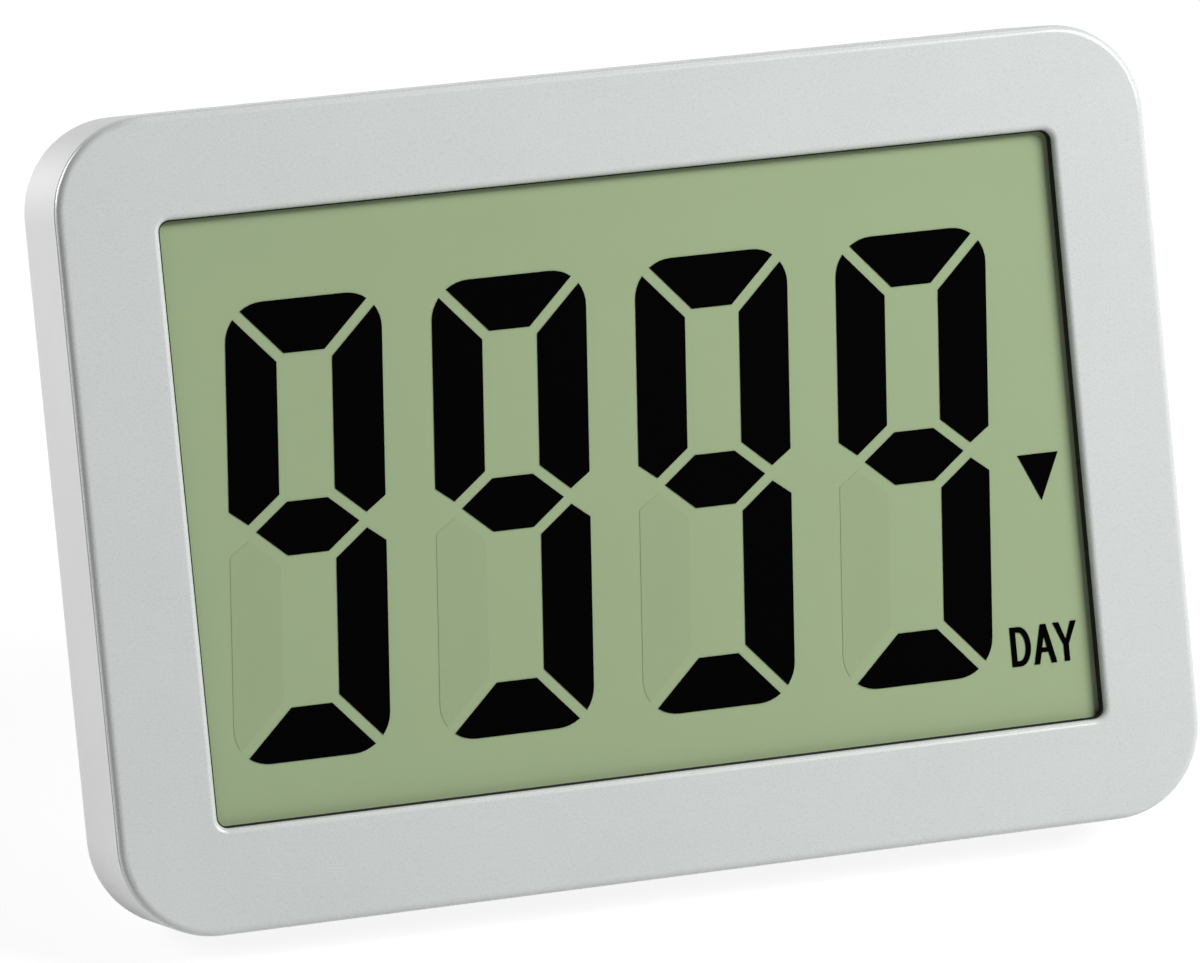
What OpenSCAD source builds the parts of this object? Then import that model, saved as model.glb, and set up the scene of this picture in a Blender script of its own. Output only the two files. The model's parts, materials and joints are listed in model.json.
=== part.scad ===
// Countdown timer: a leaning desk display with a fold-out stand.
// Face frame used by every module: x to the right, y up the face from its middle,
// z towards the viewer with the front face at zero. A depth is measured back from that face.

/* [Case] */
// Width of the case
case_w = 120; // [116:0.5:140]
// Height of the case along its face
case_h = 85.5; // [84:0.5:100]
// Radius of the case's corners, seen from the front
case_corner = 10; // [8:0.5:13]
// Wall of the rear cover
wall = 1.8; // [1.5:0.1:2.2]
// Rounding of the bezel's front edge
front_edge_r = 0.8; // [0.6:0.1:1.1]
// Rounding of the cover's back edge
back_edge_r = 3; // [2:0.1:3.6]
// Angle that the case leans back on its stand
lean = 17.7; // [14:0.1:20]

/* [Bezel] */
// Thickness of the bezel's plate
bezel_t = 1.2; // [1.2:0.1:1.6]
// Width of the bezel beside the window
side_border = 10.7; // [9.5:0.05:14]
// Width of the bezel above and below the window
end_border = 11.05; // [10.8:0.05:13]
// Radius of the window's corners
window_corner = 1.2; // [0.8:0.1:3]
// Thickness of the window's lip, where the gasket is let into the plate
lip_t = 0.7; // [0.7:0.05:0.9]
// Rounding of the window's lip
lip_r = 0.65; // [0.4:0.05:0.65]
// Visible gap of the parting line between bezel and cover
parting_gap = 0.3; // [0.2:0.05:0.5]
// Thickness of the tongue that centres the bezel in the cover
tongue_t = 1; // [0.8:0.1:1.4]
// Length of that tongue behind the plate
tongue_len = 2.2; // [1.5:0.1:3]

/* [Display] */
// Thickness of the foam gasket between bezel and glass
gasket_t = 0.9; // [0.75:0.05:1.1]
// Width of the gasket that shows inside the window
gasket_show = 0.15; // [0.1:0.05:0.4]
// Overlap of the glass behind the window's edge
glass_overlap = 1.2; // [0.8:0.1:1.4]
// Thickness of each glass plate
glass_t = 1.1; // [0.7:0.05:1.1]
// Thickness of the polarizer and of the reflector film
film_t = 0.15; // [0.1:0.01:0.2]
// Thickness of the edge seal between the plates
seal_t = 0.1; // [0.06:0.01:0.15]
// Width of the edge seal
seal_w = 1; // [0.6:0.1:1.5]
// Height of the contact ledge on the front glass
ledge_h = 3; // [2.4:0.1:3.2]
// Thickness of a lit segment
segment_t = 0.08; // [0.05:0.01:0.15]
// Thickness of the faint trace of an unlit segment
trace_t = 0.04; // [0.02:0.01:0.05]

/* [Digits] */
// Number of digits
digit_count = 4; // [2:1:4]
// Gap between neighbouring digits
digit_gap = 5.45; // [4:0.05:7]
// Margin left of the digits
digits_left = 4.6; // [3:0.05:8]
// Margin right of the digits, where the marker stands
digits_right = 9.9; // [9:0.1:12]
// Margin above the digits
digits_above = 9.4; // [5:0.1:14]
// Margin below the digits
digits_below = 6; // [3:0.1:10]
// Width of an upright segment
stroke_v = 5.45; // [3.5:0.05:5.6]
// Width of a level segment
stroke_h = 5.6; // [3.5:0.05:6]
// Gap between neighbouring segments
segment_gap = 1.15; // [0.5:0.05:1.3]
// Rounding of a digit's outer corners
digit_corner = 4; // [2:0.1:4.5]
// Height of the waist above a digit's middle
waist_up = 0.2; // [0:0.05:0.5]
// Slant of the digits
digit_slant = 4.5; // [0:0.5:8]
// Width of the triangle marker
marker_w = 4.6; // [3:0.05:5]
// Height of the triangle marker
marker_h = 5; // [3:0.05:6]
// Distance of the marker's middle from the window's right edge
marker_right = 4.45; // [3:0.05:5]
// Top of the marker, below the window's middle
marker_down = 2.7; // [0:0.1:8]

/* [Holder and board] */
// Thickness of the display holder's frame
holder_t = 1.5; // [1.2:0.1:1.8]
// Width of the holder's side and bottom bars
holder_bar = 3.7; // [3:0.1:4]
// Height of the holder's cross bar
cross_bar = 5.2; // [4:0.1:6]
// Height of the board's stand-offs on the holder
standoff_h = 3; // [2.5:0.1:3.4]
// Radius of the board's stand-offs
standoff_r = 1.8; // [1.6:0.1:2]
// Height of the circuit board
board_h = 13.4; // [12.6:0.1:13.6]
// Reach of the circuit board above the glass
board_over = 0.7; // [0.4:0.1:1]
// Distance of the inner stand-offs from the middle of the battery bay
inner_post_gap = 16; // [14:0.5:17]
// Distance of the outer stand-offs from the connector's ends
outer_post_gap = 3; // [2.5:0.1:3.5]
// Width of the board left outside the outer screws' heads
board_edge = 0.2; // [0.1:0.1:1]
// Thickness of the circuit board
board_t = 1; // [0.8:0.1:1.2]
// Distance of the rubber connector's ends from the sides of the glass
strip_end = 9.15; // [8.5:0.05:14]
// Thickness of the rubber connector strip
strip_t = 2; // [1.6:0.1:2.2]
// Radius of the epoxy dome over the chip
chip_r = 4.2; // [3.5:0.1:4.6]
// Height of the epoxy dome
chip_h = 1.5; // [1:0.1:2]
// Diameter of the crystal's can
crystal_d = 2; // [1.8:0.1:2.2]
// Length of the crystal's can
crystal_len = 6; // [5:0.1:6.5]
// Distance of the crystal's end from the middle of the battery bay
crystal_gap = 12; // [9:0.5:12.5]
// Distance of the chip's middle from the other end of the board
chip_end = 14.3; // [12.5:0.1:16]

/* [Buttons] */
// Radius of a button's cap
button_r = 3.8; // [3:0.1:4.2]
// Distance from button to button
button_pitch = 16; // [13:0.5:18]
// Distance of the row of buttons below the top of the case
button_top = 12.25; // [11.8:0.05:12.8]
// Travel of a button
button_travel = 0.5; // [0.3:0.05:0.6]
// Depth of the caps below the back face
button_inset = 0.25; // [0.1:0.05:0.6]
// Clearance round a button's cap
button_gap = 0.2; // [0.1:0.05:0.3]
// Rounding of a cap's edge
cap_edge = 0.3; // [0.1:0.05:0.4]
// Width of the rim that keeps a button in the cover
button_rim = 1; // [0.6:0.1:1.2]
// Side of a key switch
switch_w = 6; // [5:0.1:6.2]
// Height of a key switch without its stem
switch_h = 3.4; // [3:0.1:3.6]
// Radius of a key switch's stem
stem_r = 1.7; // [1.2:0.1:2]

/* [Battery] */
// Diameter of the cell
cell_d = 10.5; // [10:0.1:10.5]
// Length of the cell with its nub
cell_len = 44.5; // [43:0.1:45]
// Room round the cell in its bay
cell_gap = 0.45; // [0.3:0.05:0.6]
// Distance of the bay's middle from the right side of the case
bay_side = 22; // [21.5:0.1:23]
// Gap between the bay's upper wall and the circuit board
bay_gap = 0.65; // [0.4:0.05:0.9]
// Room between the cell and the door
door_room = 0.2; // [0.1:0.05:0.4]
// Room for the spring contact
spring_len = 4.2; // [3.8:0.1:4.4]
// Wall of the bay
bay_wall = 2; // [1.8:0.1:2.1]
// Floor of the bay
bay_floor = 0.7; // [0.6:0.05:0.8]
// Wire of the spring contact
spring_wire = 0.5; // [0.4:0.05:0.6]
// Number of curls in the spring contact
spring_curls = 3.5; // [3:0.5:4]
// Radius of the spring at its plate
spring_base_r = 3.6; // [3.2:0.1:3.7]
// Radius of the spring at the cell
spring_tip_r = 2; // [1.6:0.1:2.4]
// Thickness of the contact plates
contact_t = 0.4; // [0.3:0.05:0.5]
// Diameter of the battery lead
lead_d = 1; // [0.8:0.1:1.2]
// Thickness of the battery door
door_t = 1.4; // [1.2:0.1:1.5]
// Width of the ledge under the door's edge
door_ledge = 1.4; // [1.2:0.1:1.5]
// Clearance round the door
door_gap = 0.2; // [0.15:0.05:0.3]

/* [Stand] */
// Width of the stand
stand_w = 40; // [34:0.5:42]
// Thickness of the stand
stand_t = 2.6; // [2.2:0.1:2.8]
// Distance of the hinge below the row of buttons
hinge_drop = 9.25; // [8.8:0.05:12]
// Angle that the stand opens from the back
stand_open = 25; // [20:0.5:26]
// Radius of the hinge pins
pin_r = 0.8; // [0.6:0.05:0.9]
// Length of the hinge pins
pin_len = 2.2; // [1.5:0.1:3]
// Running clearance of the hinge pins
pin_gap = 0.05; // [0.03:0.01:0.1]
// Depth of the folded stand below the back face
stand_inset = 0.3; // [0.2:0.05:0.5]
// Clearance between the stand and its recess
stand_gap = 0.3; // [0.25:0.05:0.4]
// Clearance left at the stand's stop
stop_gap = 0.05; // [0.03:0.01:0.1]
// Rounding of the stand's long edges
stand_edge = 0.5; // [0.2:0.1:1]
// Radius of the stand's lower corners
stand_corner = 5; // [3:0.5:8]
// Thickness of the rubber foot strip
foot_t = 1.2; // [1:0.1:1.8]
// Width of the rubber foot strip
foot_w = 28; // [20:0.5:30]
// Radius of the finger notch below the stand
notch_r = 8; // [6:0.5:10]

/* [Magnets and screws] */
// Diameter of a magnet disc
magnet_d = 10; // [8:0.5:11]
// Thickness of a magnet disc
magnet_t = 2; // [1.5:0.1:2.4]
// Distance of each magnet's middle from the side of the case
magnet_side = 16; // [15:0.5:18]
// Distance of the magnets' middle below the top of the case
magnet_top = 12.25; // [11.5:0.05:12.8]
// Height of the magnets above the back face
magnet_proud = 0.15; // [0.05:0.05:0.3]
// Distance of the case screws from the sides of the case
screw_side = 5.4; // [5:0.1:5.6]
// Distance of the case screws from the top and the bottom of the case
screw_end = 14.75; // [13:0.25:16]
// Radius of the case screws' shank
screw_r = 0.95; // [0.8:0.05:1]
// Radius of the case screws' head
screw_head_r = 2; // [1.8:0.1:2.1]
// Length of the case screws under the head
screw_len = 7.8; // [7:0.1:8.2]
// Length of the bezel's bosses for the case screws
boss_len = 5.4; // [5:0.1:5.8]
// Thickness of the cover's posts under a screw head
post_seat = 4; // [3.6:0.1:4.4]
// Clearance of a screw in its pilot hole
pilot_gap = 0.05; // [0.03:0.01:0.1]
// Clearance of a screw and of its head in a through hole
screw_gap = 0.3; // [0.2:0.05:0.4]

/* [Hidden] */
$fn = 64;
// Small overshoot that lets a cut pass through a face
eps = 0.5;
// Clearance between pieces that only lie side by side
fit = 0.1;

// Depths of the stack behind the front face
gasket_front = lip_t;
polarizer_front = gasket_front + gasket_t;
glass_front = polarizer_front + film_t;
seal_front = glass_front + glass_t;
rear_glass_front = seal_front + seal_t;
reflector_front = rear_glass_front + glass_t;
panel_back = reflector_front + film_t;
holder_back = panel_back + holder_t;
board_front = holder_back + standoff_h;
board_back = board_front + board_t;
bezel_rim = front_edge_r + fit;
cover_front = bezel_rim + parting_gap;
bay_front = panel_back + 2 * fit;
cell_depth = bay_front + bay_floor + fit + cell_d / 2;
door_depth = cell_depth + cell_d / 2 + door_room;
door_back = door_depth + door_t;
case_d = door_back + 2 * fit;
inner_back = case_d - wall;

// Window, its digits and the outline of the glass and of the holder
window_w = case_w - 2 * side_border;
window_h = case_h - 2 * end_border;
digit_w = (window_w - digits_left - digits_right - (digit_count - 1) * digit_gap) / digit_count;
digit_h = window_h - digits_above - digits_below;
digit_pitch = digit_w + digit_gap;
digit_x = digits_left + digit_w / 2 - window_w / 2;
digit_y = (digits_below - digits_above) / 2;
marker_x = window_w / 2 - marker_right;
glass_w = window_w + 2 * glass_overlap;
glass_h = window_h + 2 * glass_overlap;
strip_y = glass_h / 2 + ledge_h / 2;
glass_top = glass_h / 2 + ledge_h;
strip_len = glass_w - 2 * strip_end;
holder_in_w = glass_w - 2 * holder_bar;
holder_bottom = -glass_h / 2 - 2 * glass_overlap;
holder_in_bottom = holder_bottom + holder_bar;
holder_in_top = strip_y - ledge_h - fit;
holder_top = glass_top + fit;
holder_corner = 2;
holder_bite = 2;
tongue_in = wall + fit;

// Ribs beside the glass and bosses behind the bezel
fence_gap = 0.3;
fence_t = 1;
boss_r = 2.4;
ear_r = 2.2;
side_ear_y = 12;
screw_x = case_w / 2 - screw_side;
screw_y = case_h / 2 - screw_end;
low_ear_x = 28;
low_ear_drop = 2;
low_ear_y = holder_bottom - low_ear_drop;
holder_ears = [for (s = [-1, 1], e = [[screw_x, side_ear_y], [low_ear_x, low_ear_y]]) [s * e[0], e[1]]];

// Circuit board and the holder's stand-offs
board_top = glass_top + board_over;
board_low = board_top - board_h;
bay_x = case_w / 2 - bay_side;
post_x = [strip_len / 2 + outer_post_gap, bay_x - inner_post_gap];
outer_post_drop = 1;
post_y = [strip_y - outer_post_drop, board_low + cross_bar / 2];
board_posts = [for (s = [-1, 1], i = [0, 1]) [s * post_x[i], post_y[i]]];
board_screw_r = 0.75;
board_head_r = 1.6;
board_head_t = 1;
board_screw_len = board_t + standoff_h - 4 * fit;
board_w = 2 * (post_x[0] + board_head_r + board_edge);
crystal_x = bay_x - crystal_gap;
chip_x = board_w / 2 - chip_end;
board_corner = 1;
capacitor = [2, 1.2, 1];
lead_on_board = 2.5;

// Battery bay
bay_w = cell_d + 2 * cell_gap;
bay_len = cell_len + spring_len + contact_t + 2 * fit;
bay_high = board_low - bay_gap - bay_wall;
bay_low = bay_high - bay_len;
bay_clear = 0.4;
door_seat = door_depth - fit;
door_w = bay_w + 2 * door_ledge;
door_low = bay_low - door_ledge;
door_high = bay_high + door_ledge;
bay_corner = 1;
cell_low = bay_low + spring_len;
cell_edge = 0.6;
nub_r = 1.9;
nub_h = 0.9;
nub_plate = 3.6;
tail_w = 3;
tail_reach = 1;
tail_on_board = 3;

// Tabs, latch and finger scoop of the battery door
tab_w = 2.6;
tab_x = cell_d / 2 - tab_w / 2;
tab_t = 1;
tab_reach = 1.8;
tab_gap = 0.25;
tab_swing = 2;
tab_depth = inner_back - tab_gap;
latch_w = 6;
latch_t = 1;
latch_len = 1.6;
latch_gap = 0.4;
scoop_r = 4;
scoop_depth = 0.9;

// Grip grooves of the door and of the stand
groove_count = 4;
groove_w = 0.8;
groove_pitch = 1.8;
groove_depth = 0.4;
groove_start = 4;

// Stand and its place
pocket_d = stand_inset + stand_t + stand_gap;
hinge_depth = case_d - stand_inset - stand_t / 2;
button_y = case_h / 2 - button_top;
hinge_y = button_y - hinge_drop;
hinge_up = hinge_y + case_h / 2;
pocket_wall = 1.5;
leg_tilt = stand_open - lean;
rest_lift = back_edge_r * (1 - cos(lean)) + (case_d - back_edge_r) * sin(lean);
hinge_z = hinge_up * cos(lean) - hinge_depth * sin(lean) + rest_lift;
leg_len = hinge_z / cos(leg_tilt);
foot_reach = stand_t / 2 * tan(leg_tilt);
pocket_low = hinge_y - leg_len - foot_reach - stand_gap;
pocket_high = hinge_y + stand_t / 2 + stand_gap;
ear_block = pin_len + pocket_wall;
stand_rim = 3;
hollow_depth = 1.2;
hollow_corner = 1.5;

// Buttons
button_xs = [for (i = [-1, 0, 1]) i * button_pitch];
cap_top = case_d - button_inset;
rim_back = inner_back - fit;
rim_t = 0.8;
stem_play = 0.05;
dish_depth = 0.35;
dish_edge = 0.55;
switch_corner = 0.6;
switch_floor = 1;
plunger_len = 0.75;
stem_top = rim_back - rim_t - stem_play - plunger_len;
plunger_r = 1.6;

// Magnets and case screws
magnet_x = case_w / 2 - magnet_side;
magnet_y = case_h / 2 - magnet_top;
screw_spots = [for (s = [-1, 1], t = [-1, 1]) [s * screw_x, t * screw_y]];
screw_head_t = 1.4;
post_wall = 0.6;
post_front = bezel_t + boss_len;
post_r = screw_head_r + screw_gap + post_wall;
screw_seat = post_front + post_seat;
driver_w = 0.55;
driver_share = 1.3;

// Extent of the standing object, front to back
front_most = front_edge_r * (cos(lean) + sin(lean) - 1);
hinge_back = hinge_depth * cos(lean) + hinge_up * sin(lean);
foot_corner = (hinge_z + stand_t / 2 * sin(leg_tilt)) / cos(leg_tilt);
foot_back = hinge_back + foot_corner * sin(leg_tilt) + stand_t / 2 * cos(leg_tilt);
top_back = (case_d - back_edge_r) * cos(lean) + (case_h - back_edge_r) * sin(lean) + back_edge_r;
middle_back = (front_most + max(foot_back, top_back)) / 2;

// Colours
case_white = [0.82, 0.83, 0.82];
lcd_green = [0.58, 0.66, 0.48];
clear_glass = [0.75, 0.85, 0.85];
segment_black = [0.04, 0.04, 0.04];
foam_black = [0.08, 0.08, 0.08];
steel = [0.72, 0.73, 0.75];
board_green = [0.10, 0.38, 0.22];
rubber_grey = [0.30, 0.30, 0.31];
ceramic_tan = [0.62, 0.52, 0.40];
cell_green = [0.30, 0.42, 0.34];
trace_green = [0.56, 0.64, 0.46];

// Placement and shared shapes

// Leans the case back on the floor, with the origin under the middle of its box
module standing() {
    translate([0, -middle_back, rest_lift])
        rotate([90 - lean, 0, 0])
            translate([0, case_h / 2, 0])
                children();
}

// Solid between two depths behind the front face
module span(front, back) {
    translate([0, 0, -back])
        linear_extrude(back - front)
            children();
}

// Solid across the case whose outline is given as y and z
module across(width) {
    rotate([90, 0, 90])
        linear_extrude(width, center = true)
            children();
}

// Outline with round corners, about the middle
module rounded(w, h, r) {
    square([w - 2 * r, h], center = true);
    square([w, h - 2 * r], center = true);
    for (x = [-1, 1], y = [-1, 1])
        translate([x * (w / 2 - r), y * (h / 2 - r)])
            circle(r);
}

// Same outline between two heights
module rounded_between(w, low, high, r) {
    translate([0, (low + high) / 2])
        rounded(w, high - low, r);
}

// What an edge loses to a rounding of radius r about the origin
module round_off(r) {
    difference() {
        square(r + eps);
        circle(r);
    }
}

// Block with round corners whose edge has the given section: x from the corner's axis, y is z
module edged_block(w, h, corner, front, back) {
    for (i = [0 : 3]) {
        along = i % 2 == 0 ? h : w;
        away = i % 2 == 0 ? w : h;
        rotate(90 * i) {
            translate([away / 2 - corner, along / 2 - corner, 0])
                rotate_extrude(angle = 90)
                    children();
            translate([away / 2 - corner, 0, 0])
                rotate([90, 0, 0])
                    linear_extrude(along - 2 * corner, center = true)
                        children();
        }
    }
    span(front, back)
        square([w - 2 * corner, h - 2 * corner], center = true);
}

// Edge section of the case between two depths with its front and back edges rounded
module case_edge(front, back, front_r, back_r) {
    difference() {
        translate([0, -back])
            square([case_corner, back - front]);
        translate([case_corner - front_r, -front - front_r])
            round_off(front_r);
        translate([case_corner - back_r, -back + back_r])
            mirror([0, 1])
                round_off(back_r);
    }
}

// Edge section of the window's cut, flared at the front into a round lip
module window_edge() {
    translate([0, -bezel_t - eps])
        square([window_corner, bezel_t + 2 * eps]);
    difference() {
        translate([window_corner - eps / 4, -lip_r])
            square([lip_r + eps / 4, lip_r + eps]);
        translate([window_corner + lip_r, -lip_r])
            circle(lip_r);
    }
}

// Screw with its head behind seat, pointing to the front
module screw(shank_r, len, head_r, head_t, seat) {
    span(seat - len, seat)
        circle(shank_r);
    difference() {
        span(seat, seat + head_t)
            circle(head_r);
        for (a = [0, 90])
            span(seat + head_t / 2, seat + head_t + eps)
                rotate(a)
                    square([driver_share * head_r, driver_w], center = true);
    }
}

// Case

module front_bezel() {
    color(case_white)
        difference() {
            union() {
                edged_block(case_w, case_h, case_corner, 0, bezel_rim)
                    case_edge(0, bezel_rim, front_edge_r, fit);
                span(bezel_rim - fit, bezel_t)
                    rounded(case_w - 2 * tongue_in, case_h - 2 * tongue_in, case_corner - tongue_in);
                bezel_tongue();
                display_fence();
                bezel_bosses();
            }
            edged_block(window_w, window_h, window_corner, -eps, bezel_t + eps)
                window_edge();
            span(gasket_front, bezel_t + eps)
                square([glass_w + 2 * fit, glass_h + 2 * fit], center = true);
            bezel_pilots();
        }
}

// Rib that centres the bezel in the rear cover
module bezel_tongue() {
    span(bezel_t - fit, bezel_t + tongue_len)
        difference() {
            rounded(case_w - 2 * tongue_in, case_h - 2 * tongue_in, case_corner - tongue_in);
            rounded(case_w - 2 * tongue_in - 2 * tongue_t, case_h - 2 * tongue_in - 2 * tongue_t,
                case_corner - tongue_in - tongue_t);
        }
}

// Ribs that locate the glass on its four sides
module display_fence() {
    side = glass_w / 2 + fence_gap + fence_t / 2;
    span(bezel_t - fit, seal_front) {
        for (s = [-1, 1])
            translate([s * side, 0])
                square([fence_t, glass_h - 2 * boss_r], center = true);
        for (y = [glass_top + fence_gap, -glass_h / 2 - fence_gap - fence_t])
            translate([2 * boss_r - glass_w / 2, y])
                square([glass_w - 4 * boss_r, fence_t]);
    }
}

module bezel_bosses() {
    for (p = screw_spots)
        translate(p)
            span(bezel_t - fit, post_front - fit)
                circle(boss_r);
    for (p = holder_ears)
        translate(p)
            span(bezel_t - fit, panel_back)
                circle(ear_r);
}

module bezel_pilots() {
    for (p = screw_spots)
        translate(p)
            span(screw_seat - screw_len - eps, post_front)
                circle(screw_r + pilot_gap);
    for (p = holder_ears)
        translate(p)
            span(bezel_t + fit, panel_back + eps)
                circle(board_screw_r + pilot_gap);
}

module rear_cover() {
    color(case_white)
        difference() {
            union() {
                cover_shell();
                cover_posts();
                bay_block();
                stand_block();
                magnet_cups();
            }
            bay_cuts();
            stand_cuts();
            button_holes();
            magnet_cuts();
            post_holes();
        }
}

module cover_shell() {
    difference() {
        edged_block(case_w, case_h, case_corner, cover_front, case_d)
            case_edge(cover_front, case_d, fit, back_edge_r);
        span(cover_front - eps, inner_back)
            rounded(case_w - 2 * wall, case_h - 2 * wall, case_corner - wall);
    }
}

module cover_posts() {
    for (p = screw_spots)
        translate(p)
            span(post_front, inner_back + fit)
                circle(post_r);
}

module post_holes() {
    for (p = screw_spots)
        translate(p) {
            span(post_front - eps, case_d + eps)
                circle(screw_r + screw_gap);
            span(screw_seat, case_d + eps)
                circle(screw_head_r + screw_gap);
        }
}

module bay_block() {
    translate([bay_x, 0])
        span(bay_front, inner_back + fit)
            rounded_between(bay_w + 2 * bay_wall, bay_low - bay_wall, bay_high + bay_wall, bay_corner);
}

module bay_cuts() {
    translate([bay_x, 0]) {
        span(bay_front + bay_floor, case_d + eps)
            rounded_between(bay_w, bay_low, bay_high, fit);
        span(door_seat, case_d + eps)
            rounded_between(door_w, door_low, door_high, bay_corner);
        for (s = [-1, 1])
            translate([s * tab_x - tab_w / 2 - door_gap, 0]) {
                span(tab_depth - tab_t - tab_swing, inner_back)
                    translate([0, door_low - tab_reach])
                        square([tab_w + 2 * door_gap, tab_reach + door_gap]);
                span(tab_depth - tab_t - tab_swing, door_depth)
                    translate([0, door_low])
                        square([tab_w + 2 * door_gap, door_ledge + fit]);
            }
        span(case_d - scoop_depth, case_d + eps)
            translate([0, door_high])
                circle(scoop_r);
        contact_slots();
    }
}

// Slots in the bay's walls where the contacts' tails leave: sideways at the spring, upwards at the other end
module contact_slots() {
    span(cell_depth - tail_w / 2 - fit, inner_back)
        translate([-bay_w / 2 - bay_wall - eps, bay_low])
            square([bay_wall + 2 * eps, contact_t + 2 * fit]);
    span(board_back - fit, board_back + contact_t + 2 * fit)
        translate([-tail_w / 2 - fit, bay_high - eps])
            square([tail_w + 2 * fit, bay_wall + 2 * eps]);
}

module stand_block() {
    span(case_d - pocket_d - pocket_wall, inner_back + fit) {
        translate([0, (pocket_low + pocket_high) / 2])
            square([stand_w + 2 * stand_gap + 2 * pocket_wall, pocket_high - pocket_low + 2 * pocket_wall],
                center = true);
        translate([0, hinge_y])
            square([stand_w + 2 * stand_gap + 2 * ear_block, stand_t + 2 * stand_gap + 2 * pocket_wall],
                center = true);
    }
}

module stand_cuts() {
    span(case_d - pocket_d, case_d + eps) {
        stand_outline(stand_w + 2 * stand_gap, pocket_low, pocket_high, stand_corner + stand_gap);
        translate([0, -case_h / 2])
            circle(notch_r);
    }
    translate([0, hinge_y, -hinge_depth])
        rotate([0, 90, 0])
            cylinder(r = pin_r + pin_gap, h = stand_w + 2 * pin_len + 4 * stand_gap, center = true);
}

// Panel outline with round lower corners
module stand_outline(w, low, high, corner) {
    translate([-w / 2, low + corner])
        square([w, high - low - corner]);
    translate([-w / 2 + corner, low])
        square([w - 2 * corner, corner + fit]);
    for (s = [-1, 1])
        translate([s * (w / 2 - corner), low + corner])
            circle(corner);
}

module button_holes() {
    for (x = button_xs)
        translate([x, button_y])
            span(inner_back - eps, case_d + eps)
                circle(button_r + button_gap);
}

module magnet_cups() {
    for (s = [-1, 1])
        translate([s * magnet_x, magnet_y])
            span(case_d + magnet_proud - magnet_t - 2 * fit - pocket_wall, inner_back + fit)
                circle(magnet_d / 2 + fit + pocket_wall);
}

module magnet_cuts() {
    for (s = [-1, 1])
        translate([s * magnet_x, magnet_y])
            span(case_d + magnet_proud - magnet_t - fit, case_d + eps)
                circle(magnet_d / 2 + fit);
}

module case_screws() {
    color(steel)
        for (p = screw_spots)
            translate(p)
                screw(screw_r, screw_len, screw_head_r, screw_head_t, screw_seat);
}

module magnets() {
    color(steel)
        for (s = [-1, 1])
            translate([s * magnet_x, magnet_y])
                span(case_d + magnet_proud - magnet_t, case_d + magnet_proud)
                    circle(magnet_d / 2);
}

// Display

module display_gasket() {
    color(foam_black)
        span(gasket_front, polarizer_front)
            difference() {
                square([glass_w, glass_h], center = true);
                rounded(window_w - 2 * gasket_show, window_h - 2 * gasket_show, window_corner - gasket_show);
            }
}

module lcd_polarizer() {
    color(lcd_green)
        span(polarizer_front, glass_front)
            square([glass_w, glass_h], center = true);
}

module lcd_front_glass() {
    color(clear_glass)
        span(glass_front, seal_front)
            translate([-glass_w / 2, -glass_h / 2])
                square([glass_w, glass_h + ledge_h]);
}

module lcd_seal() {
    color(rubber_grey)
        span(seal_front, rear_glass_front)
            difference() {
                square([glass_w, glass_h], center = true);
                square([glass_w - 2 * seal_w, glass_h - 2 * seal_w], center = true);
            }
}

module lcd_rear_glass() {
    color(clear_glass)
        span(rear_glass_front, reflector_front)
            square([glass_w, glass_h], center = true);
}

module lcd_reflector() {
    color("silver")
        span(reflector_front, panel_back)
            square([glass_w, glass_h], center = true);
}

corner_steps = 4;

// Points along a digit's rounded outer corner, upper right, from one angle to another
function corner_arc(from, to) =
    [for (i = [0 : corner_steps])
        let (a = from + (to - from) * i / corner_steps)
        [digit_w / 2 - digit_corner * (1 - cos(a)), digit_h / 2 - digit_corner * (1 - sin(a))]];

// Angle that half the segment gap takes up on the corner, and its share along a mitre
gap_angle = asin(segment_gap / 2 / digit_corner);
mitre_gap = segment_gap / sqrt(2);

function mirrored(points, sx, sy) = [for (p = points) [sx * p[0], sy * p[1]]];
function reversed(points) = [for (i = [len(points) - 1 : -1 : 0]) points[i]];

// Top level segment
top_half = concat(corner_arc(90, 45 + gap_angle),
    [[digit_w / 2 - stroke_v - mitre_gap, digit_h / 2 - stroke_h]]);
top_segment = concat(top_half, reversed(mirrored(top_half, -1, 1)));

// Upper right upright segment: its tip lies this share of the stroke inwards, cut back outside by the other
tip_share = 0.38;
tip_cut_share = 0.42;
tip_in = stroke_v * tip_share;
function side_segment(waist) = concat(corner_arc(45 - gap_angle, 0),
    [[digit_w / 2, waist + stroke_h * tip_cut_share], [digit_w / 2 - tip_in, waist + mitre_gap],
        [digit_w / 2 - stroke_v, waist + stroke_h / 2 + mitre_gap],
        [digit_w / 2 - stroke_v, digit_h / 2 - stroke_h - mitre_gap]]);
upper_side = side_segment(waist_up);
lower_side = mirrored(side_segment(-waist_up), 1, -1);

// Middle segment
middle_reach = digit_w / 2 - tip_in - mitre_gap;
middle_flat = digit_w / 2 - stroke_v - mitre_gap;
middle_high = waist_up + stroke_h / 2;
middle_low = waist_up - stroke_h / 2;
middle_segment = [[middle_reach, waist_up], [middle_flat, middle_high], [-middle_flat, middle_high],
    [-middle_reach, waist_up], [-middle_flat, middle_low], [middle_flat, middle_low]];

// Segments lit in the figure nine, and the one left dark
lit_outlines = [top_segment, mirrored(top_segment, 1, -1), upper_side, lower_side,
    mirrored(upper_side, -1, 1), middle_segment];
unlit_outlines = [mirrored(lower_side, -1, 1)];

function slanted(points) = [for (p = points) [p[0] + p[1] * tan(digit_slant), p[1]]];

// The given segments of every digit, standing on the polarizer
module digit_row(outlines, thickness) {
    for (i = [0 : digit_count - 1])
        translate([digit_x + i * digit_pitch, digit_y])
            for (outline = outlines)
                span(polarizer_front - thickness, polarizer_front)
                    polygon(slanted(outline));
}

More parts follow.
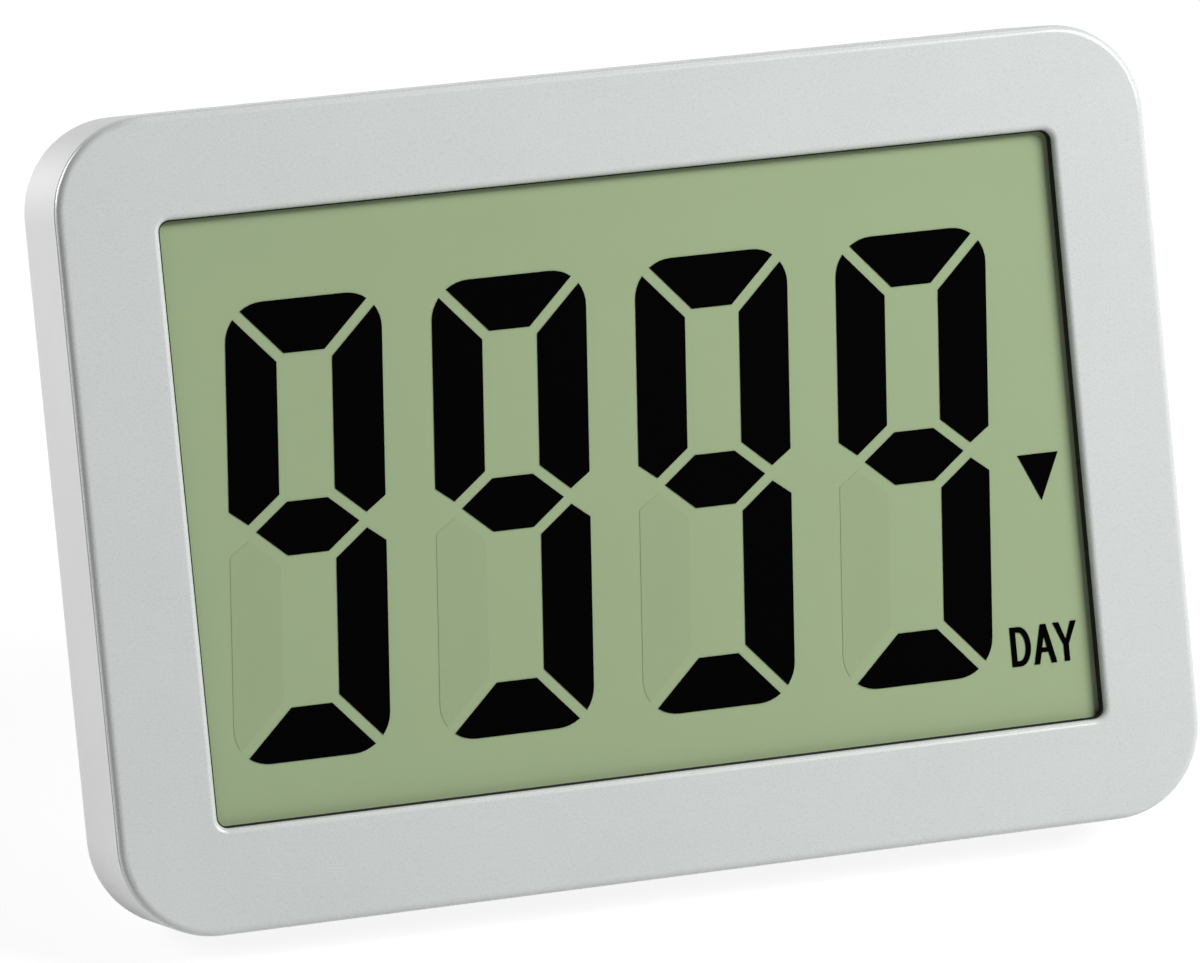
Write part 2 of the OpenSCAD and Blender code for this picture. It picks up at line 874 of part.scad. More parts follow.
module lcd_segments() {
    color(segment_black) {
        digit_row(lit_outlines, segment_t);
        span(polarizer_front - segment_t, polarizer_front)
            translate([marker_x, -marker_down])
                polygon([[-marker_w / 2, 0], [0, -marker_h], [marker_w / 2, 0]]);
    }
}

module lcd_unlit_segments() {
    color(trace_green)
        digit_row(unlit_outlines, trace_t);
}

module display_holder() {
    color(case_white)
        difference() {
            union() {
                span(panel_back, holder_back)
                    holder_frame();
                for (p = board_posts)
                    translate(p)
                        span(holder_back - fit, board_front)
                            circle(standoff_r);
            }
            for (p = board_posts)
                translate(p)
                    span(holder_back, board_front + eps)
                        circle(board_screw_r + pilot_gap);
            for (p = holder_ears)
                translate(p)
                    span(panel_back - eps, holder_back + eps)
                        circle(board_screw_r + fit);
        }
}

module holder_frame() {
    difference() {
        rounded_between(glass_w, holder_bottom, holder_top, holder_corner);
        rounded_between(holder_in_w, holder_in_bottom, board_low, holder_corner);
        rounded_between(holder_in_w, board_low + cross_bar, holder_in_top, holder_corner);
        translate([0, strip_y])
            square([strip_len + 4 * fit, strip_t + 4 * fit], center = true);
        translate([bay_x, 0])
            rounded_between(bay_w + 2 * bay_wall + 2 * bay_clear, bay_low - bay_wall - bay_clear,
                board_low, bay_corner);
    }
    for (p = holder_ears) {
        inwards = p[1] > holder_bottom ? [-sign(p[0]) * ear_r, 0] : [0, ear_r];
        translate(p)
            circle(ear_r);
        translate(p + inwards)
            square(2 * ear_r, center = true);
    }
}

module holder_screws() {
    color(steel)
        for (p = holder_ears)
            translate(p)
                screw(board_screw_r, holder_t + holder_bite, board_head_r, board_head_t, holder_back);
}

// Circuit board

module zebra_connector() {
    color(rubber_grey)
        span(seal_front, board_front)
            translate([0, strip_y])
                square([strip_len, strip_t], center = true);
}

module circuit_board() {
    color(board_green)
        span(board_front, board_back)
            difference() {
                rounded_between(board_w, board_low, board_top, board_corner);
                for (p = board_posts)
                    translate(p)
                        circle(board_screw_r + screw_gap);
            }
}

module board_screws() {
    color(steel)
        for (p = board_posts)
            translate(p)
                screw(board_screw_r, board_screw_len, board_head_r, board_head_t, board_back);
}

module chip_blob() {
    dome_r = (chip_r * chip_r + chip_h * chip_h) / (2 * chip_h);
    color(segment_black)
        translate([-chip_x, button_y, -board_back])
            intersection() {
                translate([0, 0, dome_r - chip_h])
                    sphere(dome_r);
                translate([0, 0, -chip_h])
                    cylinder(r = chip_r + eps, h = chip_h);
            }
}

module crystal() {
    color(steel)
        translate([crystal_x, button_y - crystal_d, -board_back - crystal_d / 2])
            rotate([0, 90, 0])
                cylinder(d = crystal_d, h = crystal_len);
}

module capacitors() {
    color(ceramic_tan)
        for (i = [1, 2])
            translate([crystal_x, button_y - crystal_d + i * crystal_d])
                span(board_back, board_back + capacitor[2])
                    square([capacitor[0], capacitor[1]]);
}

module key_switches() {
    color(foam_black)
        for (x = button_xs)
            translate([x, button_y])
                difference() {
                    span(board_back, board_back + switch_h)
                        rounded(switch_w, switch_w, switch_corner);
                    span(board_back + switch_floor, board_back + switch_h + eps)
                        circle(stem_r + fit);
                }
}

module switch_stem(i) {
    color("ivory")
        translate([button_xs[i], button_y])
            span(board_back + switch_floor + button_travel + fit, stem_top)
                circle(stem_r);
}

module switch_stem_set() {
    switch_stem(1);
}

module switch_stem_up() {
    switch_stem(2);
}

module switch_stem_down() {
    switch_stem(0);
}

// Button cap with a round edge and a shallow finger dish, its retaining rim and its plunger
module button(i) {
    color(rubber_grey)
        translate([button_xs[i], button_y])
            rotate([180, 0, 0])
                rotate_extrude()
                    button_section();
}

// Half section of a button: x from its axis, y is the depth
module button_section() {
    dish_half = button_r - dish_edge;
    dish_r = (dish_half * dish_half + dish_depth * dish_depth) / (2 * dish_depth);
    difference() {
        union() {
            translate([0, rim_back - rim_t])
                square([button_r, cap_top - rim_back + rim_t]);
            translate([0, rim_back - rim_t])
                square([button_r + button_rim, rim_t]);
            translate([0, stem_top + stem_play])
                square([plunger_r, rim_back - stem_top - stem_play]);
        }
        translate([button_r - cap_edge, cap_top - cap_edge])
            round_off(cap_edge);
        translate([0, cap_top + dish_r - dish_depth])
            circle(dish_r);
    }
}

module button_set() {
    button(1);
}

module button_up() {
    button(2);
}

module button_down() {
    button(0);
}

// Battery

module battery_cell() {
    color(cell_green)
        translate([bay_x, cell_low, -cell_depth])
            rotate([-90, 0, 0])
                rotate_extrude()
                    difference() {
                        union() {
                            square([cell_d / 2, cell_len - nub_h]);
                            square([nub_r, cell_len]);
                        }
                        translate([cell_d / 2 - cell_edge, cell_len - nub_h - cell_edge])
                            round_off(cell_edge);
                    }
}

// Spring: one tube that winds inwards from the plate to the cell
spring_sides = 6;
rings_a_curl = 8;
spring_rings = rings_a_curl * spring_curls;
spring_run = spring_len - contact_t - spring_wire - 2 * fit;

function spring_point(i) =
    let (s = i / spring_rings, r = spring_base_r + (spring_tip_r - spring_base_r) * s)
    [r * cos(360 * spring_curls * s), r * sin(360 * spring_curls * s), spring_run * s];

spring_path = [for (i = [0 : spring_rings]) spring_point(i)];

function unit(v) = v / norm(v);

// Ring of points round the wire at one place of its path
function wire_ring(i) =
    let (before = spring_path[max(i - 1, 0)], after = spring_path[min(i + 1, spring_rings)],
        t = unit(after - before), side = unit(cross(t, [0, 0, 1])), up = cross(side, t))
    [for (k = [0 : spring_sides - 1])
        let (a = 360 / spring_sides * k)
        spring_path[i] + spring_wire / 2 * (cos(a) * side + sin(a) * up)];

spring_points = [for (i = [0 : spring_rings]) each wire_ring(i)];

function ring_corner(i, k) = i * spring_sides + k % spring_sides;

spring_faces = concat(
    [for (i = [0 : spring_rings - 1], k = [0 : spring_sides - 1])
        each [[ring_corner(i, k), ring_corner(i, k + 1), ring_corner(i + 1, k + 1)],
            [ring_corner(i, k), ring_corner(i + 1, k + 1), ring_corner(i + 1, k)]]],
    [for (k = [1 : spring_sides - 2]) [0, k + 1, k]],
    [for (k = [1 : spring_sides - 2])
        [ring_corner(spring_rings, 0), ring_corner(spring_rings, k), ring_corner(spring_rings, k + 1)]]);

// Least gap between one curl and the next
curl_apart = rings_a_curl - 2;
spring_gap = min([for (i = [0 : spring_rings - curl_apart], j = [i + curl_apart : spring_rings])
    norm(spring_path[i] - spring_path[j])]) - spring_wire;
echo(spring_gap = spring_gap);

module battery_spring() {
    color(steel)
        translate([bay_x, bay_low + contact_t + spring_wire / 2 + fit, -cell_depth])
            rotate([-90, 0, 0])
                polyhedron(spring_points, spring_faces);
}

// Square plate across the bay, with its lower face at a height
module contact_plate(half, y) {
    translate([bay_x, y + contact_t, -cell_depth])
        rotate([90, 0, 0])
            linear_extrude(contact_t) {
                square(2 * half, center = true);
                children();
            }
}

// Plate under the spring, with a tail through the bay's side wall to the lead
module spring_plate() {
    reach = bay_w / 2 + bay_wall + tail_reach;
    color(steel)
        contact_plate(spring_base_r + spring_wire / 2, bay_low + fit)
            translate([-reach, -tail_w / 2])
                square([reach, tail_w]);
}

// Plate at the cell's nub, with a tail through the bay's upper wall to the board
module positive_contact() {
    low = bay_high - fit - contact_t;
    color(steel) {
        contact_plate(nub_plate, low);
        span(board_back, board_back + contact_t)
            translate([bay_x - tail_w / 2, low])
                square([tail_w, board_low + tail_on_board - low]);
    }
}

// Lead from the spring's plate up to the board
module battery_lead() {
    x = bay_x - bay_w / 2 - bay_wall - lead_d / 2 - fit;
    color("firebrick")
        translate([x, bay_low + contact_t + 2 * fit, -board_back - lead_d / 2])
            rotate([-90, 0, 0])
                cylinder(d = lead_d, h = board_low + lead_on_board - bay_low);
}

// Door closed over the bay, with two tabs under the back wall and a latch tongue
module battery_door() {
    w = door_w - 2 * door_gap;
    low = door_low + door_gap;
    high = door_high - door_gap;
    color(case_white)
        translate([bay_x, 0])
            difference() {
                union() {
                    span(door_depth, door_back)
                        rounded_between(w, low, high, bay_corner);
                    door_tabs(low);
                    door_latch();
                }
                door_grip(high);
            }
}

module door_tabs(low) {
    for (s = [-1, 1])
        translate([s * tab_x, 0]) {
            span(tab_depth - tab_t, door_depth + fit)
                translate([0, low + tab_t / 2])
                    square([tab_w, tab_t], center = true);
            span(tab_depth - tab_t, tab_depth)
                translate([0, low + tab_t / 2 - tab_reach / 2])
                    square([tab_w, tab_t + tab_reach], center = true);
        }
}

module door_latch() {
    span(door_seat - latch_len, door_depth + fit)
        translate([-latch_w / 2, bay_high - latch_gap - latch_t])
            square([latch_w, latch_t]);
}

// Shallow grooves for the thumb near the latch
module door_grip(high) {
    for (i = [0 : groove_count - 1])
        span(door_back - groove_depth, door_back + eps)
            translate([0, high - groove_start - groove_pitch * i])
                square([latch_w, groove_w], center = true);
}

// Stand

// Carries shapes drawn about the hinge axis, with the leg pointing down, to the opened pose
module opened() {
    translate([0, hinge_y, -hinge_depth])
        rotate([stand_open, 0, 0])
            children();
}

module stand() {
    half = stand_t / 2;
    sole = leg_len - foot_t;
    color(case_white)
        opened()
            difference() {
                union() {
                    intersection() {
                        across(stand_w)
                            stand_side(half, sole);
                        translate([0, 0, half + eps])
                            span(0, stand_t + 2 * eps)
                                stand_outline(stand_w, -sole - foot_reach, stand_t, stand_corner);
                        rotate([90, 0, 0])
                            linear_extrude(3 * leg_len, center = true)
                                rounded(stand_w, stand_t, stand_edge);
                    }
                    rotate([0, 90, 0])
                        cylinder(r = pin_r, h = stand_w + 2 * stand_gap + 2 * pin_len, center = true);
                }
                stand_hollow(half, sole);
            }
}

// Section of the stand: barrel about the pins, leg, and the heel that stops it on the recess floor
module stand_side(half, sole) {
    stop = pocket_d - stand_inset - half - stop_gap;
    circle(half);
    difference() {
        translate([-sole - eps, -half])
            square([sole + eps, stand_t]);
        translate([-sole, 0])
            rotate(-leg_tilt)
                translate([-4 * eps, -2 * stand_t])
                    square([4 * eps, 4 * stand_t]);
    }
    difference() {
        square(half);
        rotate(-stand_open)
            translate([-stand_t, stop])
                square(3 * stand_t);
    }
}

// Hollow on the inner side that leaves a rim and a middle rib, and grip grooves on the outer side
module stand_hollow(half, sole) {
    hollow_w = (stand_w - 3 * stand_rim) / 2;
    hollow_low = -sole + 3 * stand_rim;
    hollow_high = -2 * stand_rim;
    for (s = [-1, 1])
        translate([s * (hollow_w + stand_rim) / 2, (hollow_low + hollow_high) / 2, half - hollow_depth])
            linear_extrude(hollow_depth + eps)
                rounded(hollow_w, hollow_high - hollow_low, hollow_corner);
    for (i = [0 : groove_count - 1])
        translate([0, -sole + groove_start + groove_pitch * i, -half - eps])
            linear_extrude(eps + groove_depth)
                square([stand_w / 2, groove_w], center = true);
}

// Rubber strip under the leg, flat on the floor when the stand is open
module stand_foot() {
    half = stand_t / 2;
    color(rubber_grey)
        opened()
            across(foot_w)
                intersection() {
                    translate([-leg_len - stand_t, -half])
                        square([2 * stand_t, stand_t]);
                    translate([-leg_len, 0])
                        rotate(-leg_tilt)
                            translate([0, -2 * stand_t])
                                square([foot_t * cos(leg_tilt), 4 * stand_t]);
                }
}

standing() front_bezel();
standing() rear_cover();
standing() display_gasket();
standing() lcd_polarizer();
standing() lcd_front_glass();
standing() lcd_seal();
standing() lcd_rear_glass();
standing() lcd_reflector();
standing() lcd_segments();
standing() lcd_unlit_segments();
standing() display_holder();
standing() holder_screws();
standing() zebra_connector();
standing() circuit_board();
standing() board_screws();
standing() chip_blob();
standing() crystal();
standing() capacitors();
standing() key_switches();
standing() button_set();
standing() button_up();
standing() button_down();
standing() switch_stem_set();
standing() switch_stem_up();
standing() switch_stem_down();
standing() battery_cell();
standing() battery_spring();
standing() spring_plate();
standing() positive_contact();
standing() battery_lead();
standing() battery_door();
standing() stand();
standing() stand_foot();
standing() magnets();
standing() case_screws();
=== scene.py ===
"""Looks of the countdown timer: finishes, the printed word and signs, floor, light and camera."""

import json
import math

import bmesh
import bpy
from mathutils import Matrix, Vector


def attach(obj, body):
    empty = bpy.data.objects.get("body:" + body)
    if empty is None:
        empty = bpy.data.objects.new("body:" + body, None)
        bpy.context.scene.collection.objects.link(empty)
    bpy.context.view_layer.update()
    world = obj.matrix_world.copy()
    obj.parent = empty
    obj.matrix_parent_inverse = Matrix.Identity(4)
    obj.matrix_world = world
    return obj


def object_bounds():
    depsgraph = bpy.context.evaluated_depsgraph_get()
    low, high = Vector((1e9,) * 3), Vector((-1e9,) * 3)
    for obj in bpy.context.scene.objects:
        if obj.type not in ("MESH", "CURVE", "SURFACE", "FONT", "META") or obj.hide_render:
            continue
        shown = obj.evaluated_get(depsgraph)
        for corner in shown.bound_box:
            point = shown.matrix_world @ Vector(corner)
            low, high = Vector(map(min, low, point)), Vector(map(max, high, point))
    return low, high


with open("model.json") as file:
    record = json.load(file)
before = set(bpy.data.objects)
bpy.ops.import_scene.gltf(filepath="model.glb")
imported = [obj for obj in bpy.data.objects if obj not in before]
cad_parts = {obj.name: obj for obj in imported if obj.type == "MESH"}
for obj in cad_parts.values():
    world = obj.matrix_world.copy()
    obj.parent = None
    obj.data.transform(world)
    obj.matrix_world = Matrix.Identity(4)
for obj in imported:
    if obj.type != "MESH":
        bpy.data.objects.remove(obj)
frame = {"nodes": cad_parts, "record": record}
cad_low, cad_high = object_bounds()

MM = 0.001
NODES = frame["nodes"]
MOUNTS = {mount["name"]: mount for mount in frame["record"]["mounts"]}

# Directions of the leaning case
RIGHT = Vector((1, 0, 0))
BACKWARDS = Vector(MOUNTS["magnet_left"]["axis"]).normalized()
UPWARDS = RIGHT.cross(BACKWARDS)

# Camera fitted to the case's and the window's edges in the photograph
CAMERA_AT = Vector((-0.24989, -0.76741, 0.34181))
CAMERA_TURN = [math.radians(angle) for angle in (69.579, 0.106, -17.962)]
CAMERA_LENS = 242.86
CAMERA_SENSOR = 36

# Unit word on the display, in millimetres from the middle of the display's film
WORD_LEFT = 39.82
WORD_LOW = -25.2
WORD_HEIGHT = 4.25
WORD_STROKE = 0.6
WORD_THICKNESS = 0.08

# Signs above the buttons, in millimetres
SIGN_HEIGHT = 2.0
SIGN_STROKE = 0.34
SIGN_GAP = 1.3
SIGN_THICKNESS = 0.03
ARROW_WIDTH = 2.32

# Floor: half its width, its depth under the part, how much light it throws on things and shows, its own white
FLOOR_REACH = 4.0
FLOOR_DROP = 0.02 * MM
FLOOR_THROWN = 0.85
FLOOR_SHOWN = 0.24
FLOOR_WHITE = 0.88

# Lights: direction from the part, distance and width in metres, and watts
LIGHTS = {
    "key": ((0.62, -0.52, 0.59), 0.9, 0.38, 8.2),
    "overhead": ((0.31, 0.1, 0.95), 0.8, 0.25, 0.6),
    "back_left": ((-0.65, 0.75, 0.12), 0.9, 0.5, 8.6),
}


# Places

def along(node, axis):
    """Lowest and highest reach of a node along an axis."""
    reach = [axis.dot(v.co) for v in NODES[node].data.vertices]
    return min(reach), max(reach)


def middle(node, axis):
    return sum(along(node, axis)) / 2


def front_place():
    """Frame on the display's surface: its middle, with x to the right, y up and z to the viewer."""
    at = RIGHT * middle("lcd_polarizer", RIGHT) + UPWARDS * middle("lcd_polarizer", UPWARDS)
    at += BACKWARDS * along("lcd_polarizer", BACKWARDS)[0]
    return axes_at(at, RIGHT, -BACKWARDS)


def back_place(node):
    """Frame on the case's back over a node's middle, as seen from behind."""
    at = RIGHT * middle(node, RIGHT) + UPWARDS * middle(node, UPWARDS)
    at += BACKWARDS * along("rear_cover", BACKWARDS)[1]
    return axes_at(at, -RIGHT, BACKWARDS)


def axes_at(at, right, outward):
    turn = Matrix((right, UPWARDS, outward)).transposed()
    return Matrix.Translation(at) @ turn.to_4x4()


# Letters: each gives flat polygons in a box of the given width and height

def ribbon(points, width, closed=False):
    """Quads of one width along a line, mitred at its corners."""
    line = [Vector(p) for p in points]
    count = len(line)
    edges = []
    for i, point in enumerate(line):
        before = line[i - 1] if closed or i > 0 else None
        after = line[(i + 1) % count] if closed or i < count - 1 else None
        normals = [Vector((a.y - b.y, b.x - a.x)).normalized()
                   for a, b in ((before, point), (point, after)) if a is not None and b is not None]
        mitre = sum(normals, Vector((0, 0))).normalized()
        reach = width / 2 / mitre.dot(normals[0])
        edges.append((point + mitre * reach, point - mitre * reach))
    quads = []
    for i in range(count if closed else count - 1):
        start, end = edges[i], edges[(i + 1) % count]
        quads.append([start[0], start[1], end[1], end[0]])
    return quads


def arc(centre, radii, start, end, steps):
    """Points along an ellipse from one angle to another, in degrees."""
    angles = [math.radians(start + (end - start) * i / steps) for i in range(steps + 1)]
    return [(centre[0] + radii[0] * math.cos(a), centre[1] + radii[1] * math.sin(a)) for a in angles]


def letter_d(w, h, stroke):
    half = stroke / 2
    bowl = 0.42 * w
    curve = arc((bowl, h / 2), (w - half - bowl, h / 2 - half), 90, -90, 20)
    return ribbon([(half, half), (half, h - half)] + curve, stroke, closed=True)


def letter_a(w, h, stroke):
    flat = 0.53 * stroke
    slope = (w / 2 - flat) / h
    foot = 1.04 * stroke
    peak = (w / 2 - foot) / slope
    low, high = 0.29 * h, 0.29 * h + 0.85 * stroke
    left = [(0, 0), (foot, 0), (foot + slope * low, low), (foot + slope * high, high),
            (w / 2, peak), (w / 2, h), (w / 2 - flat, h)]
    right = [(w - x, y) for x, y in reversed(left)]
    bar = [left[2], (w - left[2][0], low), (w - left[3][0], high), left[3]]
    return [left, right, bar]


def letter_y(w, h, stroke):
    fork = 0.42 * h
    arm = 1.12 * stroke
    left, right = w / 2 - stroke / 2, w / 2 + stroke / 2
    return [[(left, 0), (right, 0), (right, fork), (w, h), (w - arm, h), (w / 2, fork + 0.95 * stroke),
             (arm, h), (0, h), (left, fork)]]


def letter_s(w, h, stroke):
    radii = (w - stroke) / 2, (h - stroke) / 4
    upper = arc((w / 2, h / 2 + radii[1]), radii, 30, 270, 16)
    lower = arc((w / 2, h / 2 - radii[1]), radii, 90, -150, 16)
    return ribbon(upper + lower[1:], stroke)


def letter_e(w, h, stroke):
    low, high = (h - stroke) / 2, (h + stroke) / 2
    return [[(0, 0), (w, 0), (w, stroke), (stroke, stroke), (stroke, low), (0.88 * w, low), (0.88 * w, high),
             (stroke, high), (stroke, h - stroke), (w, h - stroke), (w, h), (0, h)]]


def letter_t(w, h, stroke):
    left, right = (w - stroke) / 2, (w + stroke) / 2
    return [[(left, 0), (right, 0), (right, h - stroke), (w, h - stroke), (w, h), (0, h), (0, h - stroke),
             (left, h - stroke)]]


def word(letters, height, stroke, start):
    """Polygons of a row of letters, each given as a shape, its width and the gap before it."""
    x, y = start
    polygons = []
    for shape, width, gap in letters:
        x += gap
        polygons += [[(x + p[0], y + p[1]) for p in polygon] for polygon in shape(width, height, stroke)]
        x += width
    return polygons


def printed(name, polygons, place, thickness, finish, body):
    """Thin closed solid of flat polygons, in millimetres, lying on a place of the case."""
    mesh = bpy.data.meshes.new(name)
    shape = bmesh.new()
    for polygon in polygons:
        shape.faces.new([shape.verts.new((x * MM, y * MM, 0)) for x, y in polygon])
    bmesh.ops.remove_doubles(shape, verts=shape.verts, dist=1e-7)
    bmesh.ops.recalc_face_normals(shape, faces=shape.faces)
    grown = bmesh.ops.extrude_face_region(shape, geom=list(shape.faces), use_keep_orig=True)
    raised = [item for item in grown["geom"] if isinstance(item, bmesh.types.BMVert)]
    bmesh.ops.translate(shape, verts=raised, vec=(0, 0, thickness * MM))
    bmesh.ops.recalc_face_normals(shape, faces=shape.faces)
    shape.to_mesh(mesh)
    shape.free()
    mesh.transform(place)
    mesh.materials.append(finish)
    piece = bpy.data.objects.new(name, mesh)
    bpy.context.scene.collection.objects.link(piece)
    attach(piece, body)


# Finishes

class Finish:
    """A material in the making: one shader, and the nodes that vary its colour, gloss and relief."""

    def __init__(self, name, **constants):
        self.material = bpy.data.materials.new(f"{name}_finish")
        self.material.use_nodes = True
        self.tree = self.material.node_tree
        self.shader = self.tree.nodes["Principled BSDF"]
        self.place = self.tree.nodes.new("ShaderNodeTexCoord").outputs["Object"]
        for socket, value in constants.items():
            self.shader.inputs[socket.replace("_", " ")].default_value = value

    def node(self, kind, **inputs):
        made = self.tree.nodes.new(kind)
        for socket, value in inputs.items():
            self.feed(made.inputs[socket.replace("_", " ")], value)
        return made

    def feed(self, socket, value):
        if isinstance(value, bpy.types.NodeSocket):
            self.tree.links.new(value, socket)
        else:
            socket.default_value = value

    def scaled(self, size):
        """Object coordinates in units of size."""
        return self.node("ShaderNodeMapping", Vector=self.place, Scale=[1 / size] * 3).outputs[0]

    def grain(self, size, detail=2.0):
        """Noise with blotches of about the given size."""
        return self.node("ShaderNodeTexNoise", Vector=self.scaled(size), Scale=1.0, Detail=detail,
                         Roughness=0.55).outputs[0]

    def specks(self, spacing, radius):
        """One at sparse round specks, zero elsewhere."""
        cells = self.node("ShaderNodeTexVoronoi", Vector=self.scaled(spacing), Scale=1.0)
        return self.between(cells.outputs["Distance"], radius / spacing, 0.6 * radius / spacing, 0.0, 1.0)

    def between(self, value, low, high, to_low, to_high):
        made = self.node("ShaderNodeMapRange", Value=value)
        for socket, number in zip(made.inputs[1:5], (low, high, to_low, to_high)):
            socket.default_value = number
        return made.outputs[0]

    def mixed(self, factor, first, second):
        """Colour between two colours or colour sockets."""
        made = self.tree.nodes.new("ShaderNodeMix")
        made.data_type = "RGBA"
        self.feed(made.inputs[0], factor)
        self.feed(made.inputs[6], first)
        self.feed(made.inputs[7], second)
        return made.outputs[2]

    def height_along(self, axis):
        """Distance along an axis of the part's frame, in metres."""
        made = self.node("ShaderNodeVectorMath")
        made.operation = "DOT_PRODUCT"
        self.feed(made.inputs[0], self.place)
        self.feed(made.inputs[1], axis)
        return made.outputs["Value"]

    def colour(self, value):
        self.feed(self.shader.inputs["Base Color"], value)

    def gloss(self, noise, smooth, rough):
        self.feed(self.shader.inputs["Roughness"], self.between(noise, 0.3, 0.7, smooth, rough))

    def relief(self, height, depth):
        bump = self.node("ShaderNodeBump", Height=height, Distance=depth, Strength=1.0)
        self.feed(self.shader.inputs["Normal"], bump.outputs[0])


def rgb(red, green, blue):
    """Linear colour of a display colour given from 0 to 255."""
    def linear(value):
        share = value / 255
        return share / 12.92 if share <= 0.04045 else ((share + 0.055) / 1.055) ** 2.4
    return linear(red), linear(green), linear(blue), 1.0


def shade(colour, share):
    return tuple(c * share for c in colour[:3]) + (1.0,)


def moulded(name, colour, depth=0.006 * MM, smooth=0.36, rough=0.48, sheen=0.4):
    """Moulded plastic with a fine spark-eroded grain, faint flow clouds and a few dust specks."""
    finish = Finish(name, Specular_IOR_Level=sheen)
    cloud = finish.grain(14 * MM, detail=3.0)
    fine = finish.grain(0.22 * MM, detail=1.0)
    clouded = finish.between(cloud, 0.3, 0.7, 0.0, 1.0)
    toned = finish.mixed(clouded, shade(colour, 0.985), shade(colour, 1.015))
    grained = finish.mixed(finish.between(fine, 0.3, 0.7, 0.0, 0.06), toned, shade(colour, 0.8))
    finish.colour(finish.mixed(finish.specks(5 * MM, 0.22 * MM), grained, shade(colour, 0.92)))
    finish.gloss(fine, smooth, rough)
    finish.relief(fine, depth)
    return finish.material


def film(name, colour):
    """Matte anti-glare film in the colour of the reflective display under it."""
    finish = Finish(name, Specular_IOR_Level=0.1)
    haze = finish.grain(0.12 * MM, detail=1.0)
    cloud = finish.grain(25 * MM)
    clouded = finish.mixed(cloud, shade(colour, 0.97), shade(colour, 1.03))
    finish.colour(finish.mixed(finish.between(haze, 0.3, 0.7, 0.0, 0.1), clouded, shade(colour, 0.85)))
    finish.gloss(haze, 0.48, 0.62)
    finish.relief(haze, 0.002 * MM)
    return finish.material


def ink(name, colour):
    """Opaque print with a slightly uneven sheen."""
    finish = Finish(name, Specular_IOR_Level=0.01)
    grain = finish.grain(0.15 * MM)
    finish.colour(finish.mixed(grain, shade(colour, 0.85), shade(colour, 1.15)))
    finish.gloss(grain, 0.5, 0.7)
    return finish.material


def metal(name, colour, smooth=0.22, rough=0.38, size=0.4 * MM):
    """Plated or drawn metal with fine marks and dull spots."""
    finish = Finish(name, Metallic=1.0)
    marks = finish.grain(size, detail=3.0)
    cloud = finish.grain(3 * MM)
    finish.colour(finish.mixed(cloud, shade(colour, 0.9), shade(colour, 1.05)))
    finish.gloss(marks, smooth, rough)
    finish.relief(marks, 0.002 * MM)
    return finish.material


def rubber(name, colour):
    """Soft rubber or foam: dull, with open pores."""
    finish = Finish(name, Specular_IOR_Level=0.2)
    pores = finish.grain(0.3 * MM, detail=3.0)
    finish.colour(finish.mixed(pores, shade(colour, 0.8), shade(colour, 1.2)))
    finish.gloss(pores, 0.7, 0.9)
    finish.relief(pores, 0.01 * MM)
    return finish.material


def glass(name, colour):
    """Display glass with a faint tint and fine surface waviness."""
    finish = Finish(name, Transmission_Weight=1.0, IOR=1.52)
    wave = finish.grain(8 * MM)
    finish.colour(finish.mixed(wave, shade(colour, 0.99), shade(colour, 1.0)))
    finish.gloss(wave, 0.02, 0.05)
    return finish.material


def layered(name, dark, light, pitch):
    """Rubber strip of thin conducting and insulating layers."""
    finish = Finish(name, Specular_IOR_Level=0.2)
    wave = finish.node("ShaderNodeTexWave", Vector=finish.scaled(pitch), Scale=0.5)
    finish.colour(finish.mixed(wave.outputs[0], dark, light))
    finish.gloss(finish.grain(0.3 * MM), 0.6, 0.75)
    return finish.material


def laminate(name, mask, copper):
    """Board with solder mask over faint tracks."""
    finish = Finish(name, Specular_IOR_Level=0.5)
    brick = finish.node("ShaderNodeTexVoronoi", Vector=finish.scaled(3 * MM), Scale=1.0)
    brick.distance = "CHEBYCHEV"
    track = finish.between(brick.outputs["Distance"], 0.42, 0.46, 0.0, 0.35)
    finish.colour(finish.mixed(track, mask, copper))
    finish.gloss(finish.grain(0.5 * MM), 0.25, 0.4)
    finish.relief(track, 0.01 * MM)
    return finish.material


def sleeve(name, node, body_colour, band_colour, can_colour):
    """Printed sleeve of the cell: plain body, one band at the upper end and bare metal at both rims."""
    finish = Finish(name, Specular_IOR_Level=0.5)
    low, high = along(node, UPWARDS)
    height = finish.between(finish.height_along(UPWARDS), low, high, 0.0, 1.0)
    ramp = finish.node("ShaderNodeValToRGB", Fac=height)
    ramp.color_ramp.interpolation = "CONSTANT"
    stops = ((0.0, can_colour), (0.02, body_colour), (0.74, band_colour), (0.955, can_colour))
    while len(ramp.color_ramp.elements) < len(stops):
        ramp.color_ramp.elements.new(1.0)
    for element, (position, colour) in zip(ramp.color_ramp.elements, stops):
        element.position = position
        element.color = colour
    finish.colour(ramp.outputs[0])
    finish.gloss(finish.grain(1.5 * MM), 0.25, 0.4)
    return finish.material


def dressed(finish, *nodes):
    """Gives CAD nodes one finish."""
    for node in nodes:
        mesh = NODES[node].data
        mesh.materials.clear()
        mesh.materials.append(finish)


BEZEL_GREY = rgb(209, 213, 211)
COVER_GREY = rgb(216, 216, 217)
LCD_GREEN = rgb(161, 179, 140)
LCD_BLACK = rgb(1, 1, 1)
STEEL = rgb(196, 197, 200)


